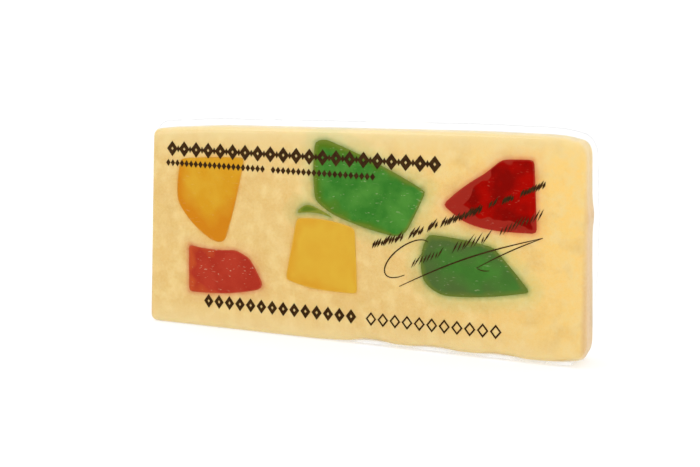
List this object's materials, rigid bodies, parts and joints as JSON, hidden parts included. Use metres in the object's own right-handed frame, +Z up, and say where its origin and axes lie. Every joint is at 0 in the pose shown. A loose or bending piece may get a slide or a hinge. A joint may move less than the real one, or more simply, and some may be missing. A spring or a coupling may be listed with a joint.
{
  "type": "vacuum-packed marzipan nougat bar",
  "caption": "Flat bar of marzipan nougat with candied fruit cut through it, vacuum-packed in clear film and standing on its long narrow edge.",
  "frame": {"origin": "under the middle of the bar, on the surface that it stands on", "axes": "+X along the bar to the viewer's right, +Y through its thickness away from the shown face, +Z up"},
  "size_m": [0.1782, 0.018, 0.083],
  "materials": {
    "marzipan": "smooth soft almond paste, slightly oily",
    "candied_orange": "translucent sugared fruit",
    "candied_yellow": "translucent sugared fruit",
    "candied_green": "translucent sugared fruit",
    "candied_red": "translucent sugared fruit",
    "candied_deep_red": "translucent sugared fruit",
    "clear_film": "clear glossy film with plain dark brown shapes printed on it"
  },
  "bodies": {
    "root": {"marzipan": "marzipan", "orange_left": "candied_orange", "yellow_middle": "candied_yellow", "green_middle": "candied_green", "green_sliver": "candied_green", "green_right": "candied_green", "red_left": "candied_red", "red_right": "candied_deep_red", "film_fin": "clear_film"}
  },
  "joints": []
}
